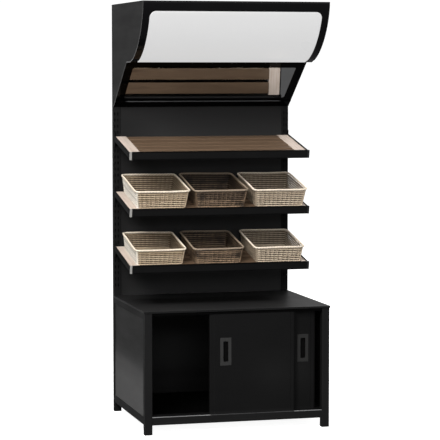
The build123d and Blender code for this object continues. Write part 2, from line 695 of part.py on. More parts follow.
# ---------------------------------------------------------------------------
# Baskets: a flared open tray with a thick rim, standing on the slats
# ---------------------------------------------------------------------------
stand = 0.4
for row, dims, xs, s_c in (("middle", basket_mid, basket_mid_x, basket_mid_s),
                           ("lower", basket_low, basket_low_x, basket_low_s)):
    rw, rd, bw, bd, bh = dims
    for where, bx in zip(("left", "centre", "right"), xs):
        base = deck_plane(row, s_c, stand, bx)
        w_top, d_top = rw - 2 * rim_out, rd - 2 * rim_out
        with BuildPart() as basket:
            with BuildSketch(base):
                RectangleRounded(bw, bd, 22.0)
            with BuildSketch(base.offset(bh)):
                RectangleRounded(w_top, d_top, 26.0)
            loft(ruled=True)
            with BuildSketch(base.offset(bh - rim_h)):
                RectangleRounded(rw, rd, 30.0)
            extrude(amount=rim_h)
            f = basket_wall / bh
            with BuildSketch(base.offset(basket_wall)):
                RectangleRounded(bw + (w_top - bw) * f - 2 * basket_wall, bd + (d_top - bd) * f - 2 * basket_wall, 16.0)
            with BuildSketch(base.offset(bh)):
                RectangleRounded(w_top - 2 * basket_wall, d_top - 2 * basket_wall, 20.0)
            loft(ruled=True, mode=Mode.SUBTRACT)
        save(basket, "basket_" + row + "_" + where)
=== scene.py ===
import math

import bpy
import numpy as np
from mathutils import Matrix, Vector


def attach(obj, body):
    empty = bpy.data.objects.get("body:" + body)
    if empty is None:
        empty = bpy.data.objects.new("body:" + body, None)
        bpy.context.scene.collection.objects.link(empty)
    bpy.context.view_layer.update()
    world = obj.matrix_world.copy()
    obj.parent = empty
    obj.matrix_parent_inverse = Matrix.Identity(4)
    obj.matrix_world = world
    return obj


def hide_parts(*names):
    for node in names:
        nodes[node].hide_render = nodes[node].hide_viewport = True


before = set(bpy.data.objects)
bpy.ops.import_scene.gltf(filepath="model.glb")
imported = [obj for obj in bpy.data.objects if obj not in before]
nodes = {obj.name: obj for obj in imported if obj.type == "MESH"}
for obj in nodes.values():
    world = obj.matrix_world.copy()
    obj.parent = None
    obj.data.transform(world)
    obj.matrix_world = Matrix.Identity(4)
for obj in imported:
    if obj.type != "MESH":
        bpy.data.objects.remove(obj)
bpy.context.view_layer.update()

scene = bpy.context.scene
scene.view_settings.view_transform = "Standard"
scene.view_settings.look = "None"

FRONT = -0.393          # front plane of the base, metres


# ---------------------------------------------------------------------------
# Camera
# ---------------------------------------------------------------------------
cam_data = bpy.data.cameras.new("camera")
cam_data.sensor_fit = "HORIZONTAL"
cam_data.sensor_width = 36.0
cam_data.lens = 162.565
cam_data.clip_start, cam_data.clip_end = 0.1, 200.0
cam = bpy.data.objects.new("camera", cam_data)
scene.collection.objects.link(cam)
cam.location = (-2.76183, -9.908804 + FRONT, 1.910227)
cam.rotation_euler = (math.radians(90.0 - 4.45249), 0.0, -math.radians(15.04307))
scene.camera = cam


# ---------------------------------------------------------------------------
# Stage and light
# ---------------------------------------------------------------------------
def node_mat(name):
    m = bpy.data.materials.new(name)
    m.use_nodes = True
    nt = m.node_tree
    nt.nodes.clear()
    out = nt.nodes.new("ShaderNodeOutputMaterial")
    bsdf = nt.nodes.new("ShaderNodeBsdfPrincipled")
    nt.links.new(bsdf.outputs["BSDF"], out.inputs["Surface"])
    return m, nt, bsdf


def floor_material():
    m, nt, b = node_mat("stage_floor")
    n = nt.nodes.new("ShaderNodeTexNoise")
    n.inputs["Scale"].default_value = 0.6
    ramp = nt.nodes.new("ShaderNodeValToRGB")
    ramp.color_ramp.elements[0].color = (0.80, 0.80, 0.80, 1)
    ramp.color_ramp.elements[1].color = (0.84, 0.84, 0.84, 1)
    nt.links.new(n.outputs["Fac"], ramp.inputs["Fac"])
    nt.links.new(ramp.outputs["Color"], b.inputs["Base Color"])
    b.inputs["Roughness"].default_value = 0.8
    b.inputs["Specular IOR Level"].default_value = 0.2
    # lit from below like a light table, so that no hard shadow is left
    nt.links.new(ramp.outputs["Color"], b.inputs["Emission Color"])
    b.inputs["Emission Strength"].default_value = 1.15
    return m


def grid_mesh(name, pts, nu, nv):
    faces = [(i * nv + j, (i + 1) * nv + j, (i + 1) * nv + j + 1, i * nv + j + 1)
             for i in range(nu - 1) for j in range(nv - 1)]
    me = bpy.data.meshes.new(name)
    me.from_pydata([tuple(p) for p in pts], [], faces)
    for p in me.polygons:
        p.use_smooth = True
    o = bpy.data.objects.new(name, me)
    scene.collection.objects.link(o)
    return o


xs = np.linspace(-30, 30, 13)
ys = np.linspace(-30, 30, 13)
floor = grid_mesh("stage_floor", [(x, y, -0.0005) for x in xs for y in ys], 13, 13)
floor.data.materials.append(floor_material())
floor.visible_glossy = False
floor.visible_diffuse = False

# soft surround: a white horizon, a dim room above, dimmer below and behind
# the camera
world = bpy.data.worlds.new("studio")
scene.world = world
world.use_nodes = True
wn = world.node_tree
wn.nodes.clear()


def w_range(value, f0, f1, t0, t1):
    m = wn.nodes.new("ShaderNodeMapRange")
    m.interpolation_type = "SMOOTHSTEP"
    for key, v in (("From Min", f0), ("From Max", f1), ("To Min", t0), ("To Max", t1)):
        m.inputs[key].default_value = v
    wn.links.new(value, m.inputs["Value"])
    return m.outputs["Result"]


def w_math(op, a, b):
    m = wn.nodes.new("ShaderNodeMath")
    m.operation = op
    for i, v in enumerate((a, b)):
        if isinstance(v, (int, float)):
            m.inputs[i].default_value = v
        else:
            wn.links.new(v, m.inputs[i])
    return m.outputs[0]


w_out = wn.nodes.new("ShaderNodeOutputWorld")
w_bg = wn.nodes.new("ShaderNodeBackground")
w_tc = wn.nodes.new("ShaderNodeTexCoord")
w_sep = wn.nodes.new("ShaderNodeSeparateXYZ")
wn.links.new(w_tc.outputs["Generated"], w_sep.inputs["Vector"])
w_room = w_math("MULTIPLY", w_range(w_sep.outputs["Z"], -0.12, 0.16, 0.12, 0.30), w_range(w_sep.outputs["Y"], -0.9, 0.9, 0.75, 1.15))
w_band = w_range(w_math("ABSOLUTE", w_math("ADD", w_sep.outputs["Z"], 0.004), 0.0), 0.048, 0.085, 1.06, 0.0)
w_bg.inputs["Color"].default_value = (1.0, 1.0, 1.0, 1)
wn.links.new(w_math("MAXIMUM", w_room, w_band), w_bg.inputs["Strength"])
wn.links.new(w_bg.outputs["Background"], w_out.inputs["Surface"])


def area(name, loc, target, size, energy, color=(1, 1, 1), size_y=None):
    d = bpy.data.lights.new(name, "AREA")
    d.shape = "RECTANGLE"
    d.size = size
    d.size_y = size_y or size
    d.energy = energy
    d.color = color
    o = bpy.data.objects.new(name, d)
    scene.collection.objects.link(o)
    o.location = loc
    o.rotation_euler = (Vector(target) - Vector(loc)).to_track_quat("-Z", "Y").to_euler()
    return o


area("key_light", (-4.2, -5.0, 5.2), (0, 0, 1.1), 3.0, 760.0, (1.0, 0.985, 0.96))
area("fill_light", (-1.5, -7.5, 3.6), (0, 0, 1.2), 3.0, 260.0)
area("top_light", (0.6, 0.8, 6.5), (0, 0, 0.0), 5.0, 200.0)


# ---------------------------------------------------------------------------
# Materials
# ---------------------------------------------------------------------------
def tex_coord(nt, scale=(1, 1, 1), rot=(0, 0, 0), output="Object"):
    tc = nt.nodes.new("ShaderNodeTexCoord")
    mp = nt.nodes.new("ShaderNodeMapping")
    mp.inputs["Scale"].default_value = scale
    mp.inputs["Rotation"].default_value = rot
    nt.links.new(tc.outputs[output], mp.inputs["Vector"])
    return mp.outputs["Vector"]


def noise(nt, vec, scale, detail=3.0, rough=0.5, distortion=0.0):
    n = nt.nodes.new("ShaderNodeTexNoise")
    n.inputs["Scale"].default_value = scale
    n.inputs["Detail"].default_value = detail
    n.inputs["Roughness"].default_value = rough
    n.inputs["Distortion"].default_value = distortion
    nt.links.new(vec, n.inputs["Vector"])
    return n.outputs["Fac"]


def ramp(nt, fac, stops):
    r = nt.nodes.new("ShaderNodeValToRGB")
    els = r.color_ramp.elements
    while len(els) < len(stops):
        els.new(0.5)
    for e, (pos, col) in zip(els, stops):
        e.position = pos
        e.color = (*col, 1) if len(col) == 3 else col
    nt.links.new(fac, r.inputs["Fac"])
    return r.outputs["Color"]


def remap(nt, fac, lo, hi, fmin=0.0, fmax=1.0):
    m = nt.nodes.new("ShaderNodeMapRange")
    m.inputs["From Min"].default_value = fmin
    m.inputs["From Max"].default_value = fmax
    m.inputs["To Min"].default_value = lo
    m.inputs["To Max"].default_value = hi
    nt.links.new(fac, m.inputs["Value"])
    return m.outputs["Result"]


def mix(nt, fac, a, b, blend="MIX"):
    m = nt.nodes.new("ShaderNodeMix")
    m.data_type = "RGBA"
    m.blend_type = blend
    if isinstance(fac, (int, float)):
        m.inputs["Factor"].default_value = fac
    else:
        nt.links.new(fac, m.inputs["Factor"])
    for sock, v in (("A", a), ("B", b)):
        s = [i for i in m.inputs if i.name == sock and i.type == "RGBA"][0]
        if isinstance(v, tuple):
            s.default_value = (*v, 1) if len(v) == 3 else v
        else:
            nt.links.new(v, s)
    return [o for o in m.outputs if o.type == "RGBA"][0]


def math_node(nt, op, a, b=None, clamp=False):
    m = nt.nodes.new("ShaderNodeMath")
    m.operation = op
    m.use_clamp = clamp
    for i, v in enumerate((a, b)):
        if v is None:
            continue
        if isinstance(v, (int, float)):
            m.inputs[i].default_value = v
        else:
            nt.links.new(v, m.inputs[i])
    return m.outputs[0]


def bump(nt, bsdf, height, strength, distance, normal_in=None):
    b = nt.nodes.new("ShaderNodeBump")
    b.inputs["Strength"].default_value = strength
    b.inputs["Distance"].default_value = distance
    nt.links.new(height, b.inputs["Height"])
    if normal_in is not None:
        nt.links.new(normal_in, b.inputs["Normal"])
    if bsdf is not None:
        nt.links.new(b.outputs["Normal"], bsdf.inputs["Normal"])
    return b.outputs["Normal"]


def edge_mask(nt, radius):
    # 1 on convex and concave edges, 0 on flats
    bv = nt.nodes.new("ShaderNodeBevel")
    bv.samples = 4
    bv.inputs["Radius"].default_value = radius
    geo = nt.nodes.new("ShaderNodeNewGeometry")
    dot = nt.nodes.new("ShaderNodeVectorMath")
    dot.operation = "DOT_PRODUCT"
    nt.links.new(bv.outputs["Normal"], dot.inputs[0])
    nt.links.new(geo.outputs["Normal"], dot.inputs[1])
    return remap(nt, dot.outputs["Value"], 1.0, 0.0, 0.80, 0.995)


def object_axis(nt, weights, offset=0.0):
    """Distance along a direction in object space, metres."""
    tc = nt.nodes.new("ShaderNodeTexCoord")
    dot = nt.nodes.new("ShaderNodeVectorMath")
    dot.operation = "DOT_PRODUCT"
    nt.links.new(tc.outputs["Object"], dot.inputs[0])
    dot.inputs[1].default_value = weights
    return math_node(nt, "SUBTRACT", dot.outputs["Value"], offset)


def powder_coat(name, base=0.0075, rough=0.50, spec=0.30, grain=0.35, edge_wear_and_highlight=0.5, coat=0.0, tone=None):
    m, nt, b = node_mat(name)
    vec = tex_coord(nt)
    cloud = noise(nt, vec, 2.3, 4.0, 0.55)
    fleck = noise(nt, vec, 420.0, 2.0, 0.6)
    peel = noise(nt, vec, 900.0, 2.0, 0.5)
    smear = noise(nt, tex_coord(nt, (1.2, 1.2, 7.0)), 1.7, 5.0, 0.6)
    lo = (base * 0.86, base * 0.86, base * 0.92)
    hi = (base * 1.18, base * 1.18, base * 1.20)
    col = ramp(nt, cloud, [(0.30, lo), (0.72, hi)])
    col = mix(nt, remap(nt, fleck, 0.0, 0.45, 0.52, 0.80), col, (base * 1.9, base * 1.9, base * 1.95))
    if edge_wear_and_highlight:
        # edges paler in scuffed patches: wear, and also a painted edge highlight
        edge = edge_mask(nt, 0.0018)
        scuffs = noise(nt, vec, 38.0, 4.0, 0.65)
        worn = math_node(nt, "MULTIPLY", edge, remap(nt, scuffs, 0.15, edge_wear_and_highlight, 0.40, 0.62), clamp=True)
        col = mix(nt, worn, col, (base * 3.0, base * 3.0, base * 3.1))
    if tone is not None:
        col = tone(nt, col)
    nt.links.new(col, b.inputs["Base Color"])
    r = math_node(nt, "ADD", remap(nt, smear, -0.05, 0.06, 0.3, 0.7), remap(nt, cloud, rough - 0.02, rough + 0.03, 0.3, 0.7), clamp=True)
    nt.links.new(r, b.inputs["Roughness"])
    b.inputs["Specular IOR Level"].default_value = spec
    b.inputs["Coat Weight"].default_value = coat
    h = mix(nt, 0.35, peel, fleck)
    bump(nt, b, h, grain, 0.00025)
    return m


def gloss_black(name, spec=0.45, base=1.0, tone=None):
    m, nt, b = node_mat(name)
    vec = tex_coord(nt)
    cloud = noise(nt, vec, 3.0, 3.0)
    dust = noise(nt, vec, 520.0, 2.0, 0.7)
    wipe = noise(nt, tex_coord(nt, (1.0, 9.0, 9.0)), 2.2, 5.0, 0.6)
    col = ramp(nt, cloud, [(0.3, (0.0024 * base, 0.0024 * base, 0.0028 * base)), (0.7, (0.0038 * base, 0.0038 * base, 0.0042 * base))])
    col = mix(nt, remap(nt, dust, 0.0, 0.06, 0.66, 0.80), col, (0.03, 0.03, 0.031))
    if tone is not None:
        col = tone(nt, col)
    nt.links.new(col, b.inputs["Base Color"])
    nt.links.new(remap(nt, wipe, 0.05, 0.13, 0.3, 0.7), b.inputs["Roughness"])
    b.inputs["Specular IOR Level"].default_value = spec
    ripple = noise(nt, vec, 14.0, 1.0)
    bump(nt, b, ripple, 0.06, 0.002)
    return m


def opal(name):
    m, nt, b = node_mat(name)
    vec = tex_coord(nt)
    cloud = noise(nt, vec, 1.6, 2.0)
    fine = noise(nt, vec, 260.0, 2.0)
    col = ramp(nt, cloud, [(0.3, (0.092, 0.092, 0.093)), (0.7, (0.108, 0.108, 0.109))])
    col = mix(nt, remap(nt, fine, 0.0, 0.05, 0.4, 0.7), col, (0.085, 0.085, 0.087))
    nt.links.new(col, b.inputs["Base Color"])
    nt.links.new(remap(nt, cloud, 0.24, 0.32, 0.3, 0.7), b.inputs["Roughness"])
    b.inputs["Specular IOR Level"].default_value = 0.35
    b.inputs["Subsurface Weight"].default_value = 0.25
    b.inputs["Subsurface Radius"].default_value = (0.004, 0.004, 0.004)
    b.inputs["Emission Color"].default_value = (1.0, 1.0, 1.0, 1)
    b.inputs["Emission Strength"].default_value = 0.625
    bump(nt, b, fine, 0.05, 0.0003)
    return m


def mirror(name):
    m, nt, b = node_mat(name)
    vec = tex_coord(nt)
    wave = noise(nt, vec, 2.5, 1.0)
    haze = noise(nt, vec, 9.0, 5.0, 0.65)
    nt.links.new(ramp(nt, haze, [(0.3, (0.60, 0.605, 0.61)), (0.7, (0.65, 0.655, 0.66))]), b.inputs["Base Color"])
    b.inputs["Metallic"].default_value = 1.0
    nt.links.new(remap(nt, haze, 0.012, 0.035, 0.35, 0.7), b.inputs["Roughness"])
    bump(nt, b, wave, 0.02, 0.002)
    return m


def wood(name, along="X", base=(0.66, 0.545, 0.425), dark=(0.44, 0.325, 0.225)):
    m, nt, b = node_mat(name)
    geo = nt.nodes.new("ShaderNodeNewGeometry")
    isle = geo.outputs["Random Per Island"]
    tc = nt.nodes.new("ShaderNodeTexCoord")
    shift = nt.nodes.new("ShaderNodeVectorMath")
    shift.operation = "MULTIPLY_ADD"
    comb = nt.nodes.new("ShaderNodeCombineXYZ")
    for i in range(3):
        nt.links.new(isle, comb.inputs[i])
    nt.links.new(comb.outputs["Vector"], shift.inputs[0])
    shift.inputs[1].default_value = (3.1, 5.7, 4.3)
    nt.links.new(tc.outputs["Object"], shift.inputs[2])

    def mapped(scale):
        mp = nt.nodes.new("ShaderNodeMapping")
        mp.inputs["Scale"].default_value = scale
        nt.links.new(shift.outputs["Vector"], mp.inputs["Vector"])
        return mp.outputs["Vector"]

    lon, lat = (1.0, 14.0)
    s1 = (lon, lat, lat) if along == "X" else (lat, lon, lon)
    s2 = (lon * 3, lat * 12, lat * 12) if along == "X" else (lat * 12, lon * 3, lon * 3)
    bands = noise(nt, mapped(s1), 3.0, 4.0, 0.55, 0.6)
    wv = nt.nodes.new("ShaderNodeTexWave")
    wv.wave_type = "BANDS"
    wv.bands_direction = "Z" if along == "X" else "X"
    wv.inputs["Scale"].default_value = 1.3
    wv.inputs["Distortion"].default_value = 7.0
    wv.inputs["Detail"].default_value = 3.0
    wv.inputs["Detail Scale"].default_value = 1.2
    nt.links.new(mapped((1.0, 9.0, 9.0) if along == "X" else (11.0, 1.2, 1.2)), wv.inputs["Vector"])
    pores = noise(nt, mapped(s2), 6.0, 2.0, 0.6)
    blot = noise(nt, tex_coord(nt), 3.0, 3.0, 0.5)
    light = tuple(min(1.0, c * 1.12) for c in base)
    c1 = ramp(nt, bands, [(0.25, dark), (0.50, base), (0.78, light)])
    c2 = mix(nt, remap(nt, wv.outputs["Fac"], 0.0, 0.30), c1, dark)
    c3 = mix(nt, remap(nt, pores, 0.0, 0.45, 0.56, 0.74), c2, tuple(c * 0.62 for c in dark))
    c4 = mix(nt, remap(nt, isle, 0.0, 0.28), c3, tuple(c * 0.86 for c in base))
    # edges paler in patches: rubbed wear, and also a painted edge highlight
    edge = edge_mask(nt, 0.0015)
    c5 = mix(nt, math_node(nt, "MULTIPLY", edge, remap(nt, blot, 0.1, 0.5, 0.4, 0.65), clamp=True), c4, light)
    nt.links.new(c5, b.inputs["Base Color"])
    nt.links.new(remap(nt, pores, 0.46, 0.62, 0.35, 0.7), b.inputs["Roughness"])
    b.inputs["Specular IOR Level"].default_value = 0.35
    b.inputs["Coat Weight"].default_value = 0.06
    b.inputs["Coat Roughness"].default_value = 0.35
    h = mix(nt, 0.5, pores, bands)
    bump(nt, b, h, 0.35, 0.0004)
    return m


def plastic(name, base, rough=0.45, spec=0.4, grain=0.2, scale=600.0, tint=(1, 1, 1), tone=None):
    m, nt, b = node_mat(name)
    vec = tex_coord(nt)
    fine = noise(nt, vec, scale, 2.0, 0.6)
    cloud = noise(nt, vec, 12.0, 3.0)
    lo = tuple(base * 0.90 * t for t in tint)
    hi = tuple(base * 1.08 * t for t in tint)
    col = ramp(nt, cloud, [(0.3, lo), (0.7, hi)])
    # painted highlight: every edge is paler
    edge = edge_mask(nt, 0.0008)
    col = mix(nt, math_node(nt, "MULTIPLY", edge, 0.25), col, tuple(min(1, base * 2.2 * t + 0.01) for t in tint))
    if tone is not None:
        col = tone(nt, col)
    nt.links.new(col, b.inputs["Base Color"])
    nt.links.new(remap(nt, cloud, rough - 0.04, rough + 0.05, 0.3, 0.7), b.inputs["Roughness"])
    b.inputs["Specular IOR Level"].default_value = spec
    bump(nt, b, fine, grain, 0.0002)
    return m


def metal(name, base, rough=0.3, along="X", brushed=True):
    m, nt, b = node_mat(name)
    vec = tex_coord(nt, (1.0, 160.0, 160.0) if along == "X" else (160.0, 160.0, 1.0))
    streak = noise(nt, vec, 5.0, 3.0, 0.6)
    cloud = noise(nt, tex_coord(nt), 20.0, 3.0)
    col = ramp(nt, streak, [(0.3, tuple(c * 0.88 for c in base)), (0.7, base)])
    nt.links.new(col, b.inputs["Base Color"])
    b.inputs["Metallic"].default_value = 1.0
    nt.links.new(math_node(nt, "ADD", remap(nt, streak, -0.05, 0.06, 0.3, 0.7), remap(nt, cloud, rough - 0.03, rough + 0.04, 0.3, 0.7)), b.inputs["Roughness"])
    if brushed:
        bump(nt, b, streak, 0.12, 0.0002)
    return m


def end_cap(name):
    # painted highlight: the left caps are pale, as if lit from the left, the right ones dark
    m, nt, b = node_mat(name)
    vec = tex_coord(nt)
    cloud = noise(nt, vec, 60.0, 3.0)
    fine = noise(nt, vec, 700.0, 2.0)
    pale = ramp(nt, cloud, [(0.3, (0.235, 0.23, 0.222)), (0.7, (0.30, 0.295, 0.285))])
    black = ramp(nt, cloud, [(0.3, (0.010, 0.010, 0.011)), (0.7, (0.014, 0.014, 0.015))])
    side = remap(nt, object_axis(nt, (1, 0, 0)), 1.0, 0.0, -0.1, 0.1)
    nt.links.new(mix(nt, side, black, pale), b.inputs["Base Color"])
    nt.links.new(remap(nt, cloud, 0.42, 0.52, 0.3, 0.7), b.inputs["Roughness"])
    b.inputs["Specular IOR Level"].default_value = 0.3
    bump(nt, b, fine, 0.15, 0.0002)
    return m


def rail_edges(nt, col):
    # darker lines along the top and bottom of each rail; the three rails
    # stand 302.4 mm apart
    n = object_axis(nt, (0, -math.sin(math.radians(11.5)), math.cos(math.radians(11.5))),
                    -(FRONT + 0.350) * math.sin(math.radians(11.5)) + (0.8472 - 0.012 * math.cos(math.radians(11.5))) * math.cos(math.radians(11.5)) - 0.040)
    k = math_node(nt, "MODULO", n, 0.3024 * math.cos(math.radians(11.5)))
    # k = 0.009 at the bottom edge and 0.052 at the top edge
    lo = remap(nt, k, 1.0, 0.0, 0.0125, 0.0140)
    hi = remap(nt, k, 0.0, 1.0, 0.0475, 0.0490)
    return mix(nt, math_node(nt, "MAXIMUM", lo, hi), col, (0.0012, 0.0012, 0.0013))


def side_painted_floor_reflection(nt, col):
    # painted floor reflection: the outer faces of the side panels are paler below
    z = object_axis(nt, (0, 0, 1))
    glow = ramp(nt, remap(nt, z, 1.0, 0.0, 0.0, 0.5), [(0.13, (0, 0, 0)), (0.21, (0.06, 0.06, 0.06)), (0.30, (0.28, 0.28, 0.28)), (0.38, (0.68, 0.68, 0.68)),
                                                    (0.46, (0.85, 0.85, 0.85)), (0.56, (1, 1, 1))])
    outer = remap(nt, math_node(nt, "ABSOLUTE", object_axis(nt, (1, 0, 0))), 0.0, 1.0, 0.4940, 0.4943)
    return mix(nt, math_node(nt, "MULTIPLY", glow, outer), col, (0.070, 0.070, 0.071))


def back_panel_painted_light(nt, col):
    # painted light: the back panels are a little paler behind the shelves, lifting the shade the shelves cast
    z = object_axis(nt, (0, 0, 1))
    mid = remap(nt, z, 1.0, 0.0, 1.50, 1.68)
    low = remap(nt, z, 1.0, 0.0, 0.95, 1.15)
    x = remap(nt, object_axis(nt, (1, 0, 0)), 0.0, 1.0, -0.46, -0.22)
    col = mix(nt, math_node(nt, "MULTIPLY", mid, math_node(nt, "MULTIPLY", x, 0.80)), col, (0.0165, 0.0165, 0.0170))
    return mix(nt, math_node(nt, "MULTIPLY", low, math_node(nt, "MULTIPLY", x, 0.85)), col, (0.0230, 0.0230, 0.0235))


def worktop_painted_light(nt, col):
    # painted light: the upper face is paler towards the front edge as a painted reflection, and darker under the
    # shelves as painted shade
    y = remap(nt, object_axis(nt, (0, 1, 0), FRONT), 0.0, 1.0, 0.0, 0.8)
    x = math_node(nt, "ABSOLUTE", object_axis(nt, (1, 0, 0), -0.04))
    top = remap(nt, object_axis(nt, (0, 0, 1)), 0.0, 1.0, 0.6440, 0.6446)
    front = mix(nt, remap(nt, y, 1.0, 0.0, 0.02, 0.34), (0.0120, 0.0120, 0.0122), (0.0200, 0.0200, 0.0204))
    under_shelf_painted_shade = math_node(nt, "MULTIPLY", remap(nt, y, 0.0, 1.0, 0.32, 0.46), remap(nt, y, 1.0, 0.0, 0.66, 0.74))
    back = math_node(nt, "MULTIPLY", under_shelf_painted_shade, remap(nt, x, 0.97, 0.0, 0.30, 0.44))
    shade = mix(nt, back, front, (0.0004, 0.0004, 0.0004))
    return mix(nt, math_node(nt, "MULTIPLY", top, 0.97), col, shade)


def door_painted_light(edge):
    # painted light: a faint painted sheen low in the field, and a painted shadow along the folded edge
    def tone(nt, col):
        x = object_axis(nt, (1, 0, 0), edge)
        z = object_axis(nt, (0, 0, 1))
        side = remap(nt, math_node(nt, "ABSOLUTE", object_axis(nt, (1, 0, 0), edge - 0.11)), 0.9, 0.0, 0.02, 0.16)
        high = remap(nt, math_node(nt, "ABSOLUTE", object_axis(nt, (0, 0, 1), 0.31)), 1.0, 0.0, 0.02, 0.13)
        lit = mix(nt, math_node(nt, "MULTIPLY", side, high), col, (0.0062, 0.0062, 0.0063))
        low = mix(nt, remap(nt, z, 0.5, 0.0, 0.098, 0.112), lit, (0.0095, 0.0095, 0.0097))
        return mix(nt, remap(nt, x, 0.0, 1.0, -0.0070, -0.0055), low, (0.0006, 0.0006, 0.0006))
    return tone


def cabinet_back_painted_light(nt, col):
    # painted light: paler base colour higher up lifts the shade under the worktop, so the back of the cabinet is
    # evenly dim, palest a little above the floor
    z = object_axis(nt, (0, 0, 1))
    high = mix(nt, remap(nt, z, 0.0, 1.0, 0.20, 0.50), col, (0.0450, 0.0450, 0.0458))
    return mix(nt, remap(nt, z, 1.0, 0.0, 0.10, 0.16), high, (0.0040, 0.0040, 0.0041))


def slot_painted_shade(nt, col):
    # painted shade: the slot walls and the inside of the tube are darker than its skin
    y = object_axis(nt, (0, 1, 0), FRONT + 0.755 + 0.0175)
    x = math_node(nt, "ABSOLUTE", object_axis(nt, (1, 0, 0)))
    inner = remap(nt, math_node(nt, "ABSOLUTE", y), 1.0, 0.0, 0.0167, 0.0171)
    narrow = remap(nt, math_node(nt, "ABSOLUTE", math_node(nt, "SUBTRACT", x, 0.480)), 1.0, 0.0, 0.0190, 0.0196)
    return mix(nt, math_node(nt, "MULTIPLY", inner, narrow), col, (0.0004, 0.0004, 0.0004))


def cup_shade(depth_from):
    def tone(nt, col):
        # the bottom of the recess is almost black
        y = object_axis(nt, (0, 1, 0), FRONT + depth_from)
        return mix(nt, remap(nt, y, 0.0, 1.0, 0.0015, 0.0035), col, (0.0002, 0.0002, 0.0002))
    return tone


def track_lip(name):
    # black extrusion with a bare metal front lip
    m, nt, b = node_mat(name)
    streak = noise(nt, tex_coord(nt, (1.0, 160.0, 160.0)), 5.0, 3.0, 0.6)
    lip = remap(nt, object_axis(nt, (0, 1, 0), FRONT + 0.0046), 1.0, 0.0, 0.0, 0.0003)
    bright = ramp(nt, streak, [(0.3, (0.50, 0.50, 0.51)), (0.7, (0.62, 0.62, 0.63))])
    # painted shade: the bare lip is dulled where the front door stands in front of it
    x = math_node(nt, "ABSOLUTE", object_axis(nt, (1, 0, 0), 0.079))
    bare = mix(nt, remap(nt, x, 0.82, 0.0, 0.226, 0.232), bright, (0.030, 0.030, 0.031))
    black = ramp(nt, streak, [(0.3, (0.0022, 0.0022, 0.0023)), (0.7, (0.0032, 0.0032, 0.0033))])
    nt.links.new(mix(nt, lip, black, bare), b.inputs["Base Color"])
    nt.links.new(lip, b.inputs["Metallic"])
    nt.links.new(remap(nt, streak, 0.38, 0.52, 0.3, 0.7), b.inputs["Roughness"])
    b.inputs["Specular IOR Level"].default_value = 0.08
    bump(nt, b, streak, 0.12, 0.0002)
    return m


def lip_painted_highlight(nt, col):
    # painted highlight: a pale line along the raised edge of the lip, where it catches the light
    z = object_axis(nt, (0, 0, 1), 1.7126)
    near = remap(nt, math_node(nt, "ABSOLUTE", z), 1.0, 0.0, 0.0032, 0.0040)
    x = math_node(nt, "ABSOLUTE", object_axis(nt, (1, 0, 0)))
    span = remap(nt, x, 1.0, 0.0, 0.425, 0.445)
    return mix(nt, math_node(nt, "MULTIPLY", near, span), col, (0.050, 0.051, 0.053))


def wicker(name, pale, tan, deep, rim, west_light_and_shade, patches=0.0):
    m, nt, b = node_mat(name)
    at = nt.nodes.new("ShaderNodeAttribute")
    at.attribute_name = "strand"
    tint = at.outputs["Fac"]
    at2 = nt.nodes.new("ShaderNodeAttribute")
    at2.attribute_name = "hidden"
    hid = at2.outputs["Fac"]
    uv = nt.nodes.new("ShaderNodeUVMap")
    uv.uv_map = "along"

    def mapped(scale):
        mp = nt.nodes.new("ShaderNodeMapping")
        mp.inputs["Scale"].default_value = scale
        nt.links.new(uv.outputs["UV"], mp.inputs["Vector"])
        return mp.outputs["Vector"]

    fibre = noise(nt, mapped((18.0, 14.0, 1.0)), 3.0, 3.0, 0.6)
    node_rings = noise(nt, mapped((26.0, 0.6, 1.0)), 1.0, 2.0, 0.5)
    blot = noise(nt, tex_coord(nt), 30.0, 4.0, 0.6)
    c = mix(nt, tint, pale, tan)
    c = mix(nt, remap(nt, blot, 0.0, 0.50, 0.45, 0.72), c, tan)
    c = mix(nt, remap(nt, fibre, 0.0, 0.35, 0.50, 0.78), c, tuple(0.5 * (v + w) for v, w in zip(tan, deep)))
    c = mix(nt, remap(nt, node_rings, 0.0, 0.30, 0.62, 0.78), c, deep)
    # strands with a tint below zero are the peeled rods of the rim
    c = mix(nt, remap(nt, tint, 1.0, 0.0, -0.9, -0.1), c, mix(nt, remap(nt, blot, 0.0, 0.6, 0.40, 0.66), rim, tuple(v * 0.72 for v in rim)))
    # painted light and shade: the left wall of each basket gets its own colour, paler on the left baskets where the
    # light falls and darker on the others, which stand in shade
    at3 = nt.nodes.new("ShaderNodeAttribute")
    at3.attribute_name = "west_light_and_shade"
    wall = math_node(nt, "MULTIPLY", at3.outputs["Fac"], remap(nt, tint, 0.0, 1.0, -0.9, -0.1))
    west_col = mix(nt, remap(nt, tint, 0.0, 1.0, 0.1, 0.75), west_light_and_shade, tuple(v * 0.62 for v in west_light_and_shade))
    west_col = mix(nt, remap(nt, blot, 0.0, 0.6, 0.40, 0.66), west_col, tuple(v * 0.66 for v in west_light_and_shade))
    c = mix(nt, math_node(nt, "MULTIPLY", wall, remap(nt, fibre, 0.95, 0.60, 0.3, 0.8)), c, west_col)
    if patches:
        worn = noise(nt, tex_coord(nt), 16.0, 3.0, 0.6)
        c = mix(nt, math_node(nt, "MULTIPLY", remap(nt, worn, 0.0, patches, 0.50, 0.68), remap(nt, tint, 0.0, 1.0, -0.9, -0.1)), c, tuple(0.4 * v + 0.6 * w for v, w in zip(tan, deep)))
    # painted shade: shaded strands and shaded parts of strands turn to the deep colour
    c = mix(nt, hid, c, deep)
    nt.links.new(c, b.inputs["Base Color"])
    nt.links.new(remap(nt, fibre, 0.48, 0.66, 0.3, 0.7), b.inputs["Roughness"])
    b.inputs["Specular IOR Level"].default_value = 0.35
    b.inputs["Coat Weight"].default_value = 0.05
    b.inputs["Coat Roughness"].default_value = 0.4
    bump(nt, b, fibre, 0.45, 0.0005)
    return m


